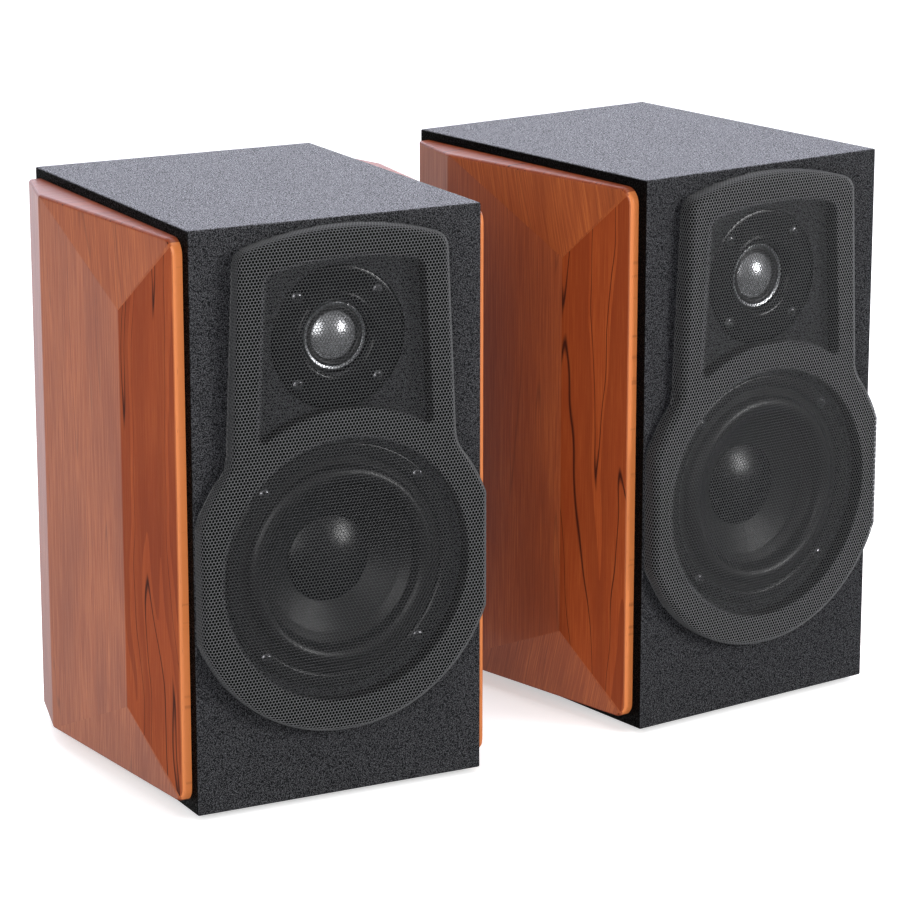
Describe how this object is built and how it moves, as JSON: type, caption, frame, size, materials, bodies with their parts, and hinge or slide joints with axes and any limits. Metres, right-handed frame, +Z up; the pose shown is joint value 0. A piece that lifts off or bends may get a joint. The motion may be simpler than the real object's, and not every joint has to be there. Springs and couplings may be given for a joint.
{
  "type": "desktop speakers",
  "caption": "Desktop stereo speakers: box cabinets with faceted wood side cheeks and open mesh grilles over a dome tweeter and a cone woofer; the left cabinet holds the amplifier.",
  "frame": {"origin": "bottom centre of the box round both cabinets, on the desk under the feet", "axes": "+Z up; +X from the left cabinet to the right one as seen from the front; +Y from the fronts to the backs"},
  "size_m": [0.453, 0.2354, 0.303],
  "materials": {
    "black_vinyl": "fibreboard wrapped in satin black pebble-grain vinyl",
    "rear_board": "painted fibreboard, matt",
    "wood_veneer": "reddish brown veneer under satin lacquer",
    "black_plastic": "moulded, fine texture",
    "gloss_black": "moulded, glossy",
    "mesh_cloth": "open black mesh",
    "bright_trim": "polished",
    "silver_dome": "satin silver",
    "ferrite": "sintered, matt",
    "painted_steel": "satin black",
    "zinc_steel": "zinc plated",
    "rubber": "matt black",
    "cone_paper": "coated paper pulp, satin",
    "dust_cap": "satin",
    "copper": "enamelled copper winding",
    "spider_cloth": "resin-dipped cloth",
    "circuit_board": "green laminate"
  },
  "bodies": {
    "left_cabinet": {"left_cabinet_shell": "black_vinyl", "left_front_baffle": "black_vinyl", "left_rear_panel": "rear_board", "left_outer_cheek": "wood_veneer", "left_inner_cheek": "wood_veneer", "left_tweeter_faceplate": "black_plastic", "left_tweeter_ring": "bright_trim", "left_tweeter_motor": "ferrite", "left_woofer_basket": "painted_steel", "left_woofer_magnet": "ferrite", "left_woofer_yoke": "zinc_steel", "left_reflex_port": "black_plastic", "left_crossover_board": "circuit_board", "left_foot_front_a": "rubber", "left_foot_front_b": "rubber", "left_foot_back_a": "rubber", "left_foot_back_b": "rubber", "left_amplifier_plate": "painted_steel", "left_connection_panel": "black_plastic", "left_mains_inlet": "black_plastic", "left_amplifier_board": "circuit_board", "left_transformer": "zinc_steel"},
    "right_cabinet": {"right_cabinet_shell": "black_vinyl", "right_front_baffle": "black_vinyl", "right_rear_panel": "rear_board", "right_outer_cheek": "wood_veneer", "right_inner_cheek": "wood_veneer", "right_tweeter_faceplate": "black_plastic", "right_tweeter_ring": "bright_trim", "right_tweeter_motor": "ferrite", "right_woofer_basket": "painted_steel", "right_woofer_magnet": "ferrite", "right_woofer_yoke": "zinc_steel", "right_reflex_port": "black_plastic", "right_crossover_board": "circuit_board", "right_foot_front_a": "rubber", "right_foot_front_b": "rubber", "right_foot_back_a": "rubber", "right_foot_back_b": "rubber", "right_terminal_plate": "black_plastic"},
    "left_grille": {"left_grille_frame": "black_plastic", "left_grille_cloth": "mesh_cloth"},
    "left_woofer": {"left_woofer_surround": "rubber", "left_woofer_cone": "cone_paper", "left_woofer_dust_cap": "dust_cap", "left_woofer_voice_coil": "copper", "left_woofer_spider": "spider_cloth"},
    "left_tweeter": {"left_tweeter_dome": "silver_dome"},
    "right_grille": {"right_grille_frame": "black_plastic", "right_grille_cloth": "mesh_cloth"},
    "right_woofer": {"right_woofer_surround": "rubber", "right_woofer_cone": "cone_paper", "right_woofer_dust_cap": "dust_cap", "right_woofer_voice_coil": "copper", "right_woofer_spider": "spider_cloth"},
    "right_tweeter": {"right_tweeter_dome": "silver_dome"},
    "left_volume_knob": {"left_volume_knob": "black_plastic"},
    "left_treble_knob": {"left_treble_knob": "black_plastic"},
    "left_bass_knob": {"left_bass_knob": "black_plastic"},
    "left_power_switch": {"left_power_switch": "gloss_black"}
  },
  "joints": [
    {"name": "left_grille_pull", "type": "slide", "parent": "left_cabinet", "child": "left_grille", "axis": [-0.0776, -0.997, 0], "range_m": [0, 0.04]},
    {"name": "left_woofer_travel", "type": "slide", "parent": "left_cabinet", "child": "left_woofer", "axis": [-0.0776, -0.997, 0], "range_m": [-0.004, 0.004], "stiffness_N_per_m": 1200, "deforming": ["left_woofer_surround", "left_woofer_spider"]},
    {"name": "left_tweeter_travel", "type": "slide", "parent": "left_cabinet", "child": "left_tweeter", "axis": [-0.0776, -0.997, 0], "range_m": [-0.0003, 0.0003]},
    {"name": "right_grille_pull", "type": "slide", "parent": "right_cabinet", "child": "right_grille", "axis": [0.0776, -0.997, 0], "range_m": [0, 0.04]},
    {"name": "right_woofer_travel", "type": "slide", "parent": "right_cabinet", "child": "right_woofer", "axis": [0.0776, -0.997, 0], "range_m": [-0.004, 0.004], "stiffness_N_per_m": 1200, "deforming": ["right_woofer_surround", "right_woofer_spider"]},
    {"name": "right_tweeter_travel", "type": "slide", "parent": "right_cabinet", "child": "right_tweeter", "axis": [0.0776, -0.997, 0], "range_m": [-0.0003, 0.0003]},
    {"name": "volume_turn", "type": "hinge", "parent": "left_cabinet", "child": "left_volume_knob", "pos_m": [-0.14714, 0.10148, 0.169], "axis": [-0.0776, -0.997, 0], "range_deg": [-150, 150]},
    {"name": "treble_turn", "type": "hinge", "parent": "left_cabinet", "child": "left_treble_knob", "pos_m": [-0.11125, 0.09869, 0.169], "axis": [-0.0776, -0.997, 0], "range_deg": [-150, 150]},
    {"name": "bass_turn", "type": "hinge", "parent": "left_cabinet", "child": "left_bass_knob", "pos_m": [-0.08333, 0.09652, 0.169], "axis": [-0.0776, -0.997, 0], "range_deg": [-150, 150]},
    {"name": "power_rock", "type": "hinge", "parent": "left_cabinet", "child": "left_power_switch", "pos_m": [-0.0834, 0.09572, 0.051], "axis": [0.997, -0.0776, 0], "range_deg": [0, 16]},
    {"name": "right_speaker_turn", "type": "hinge", "parent": "left_cabinet", "child": "right_cabinet", "pos_m": [0.12513, 0.00206, 0], "axis": [0, 0, 1], "range_deg": [-30, 30]}
  ]
}
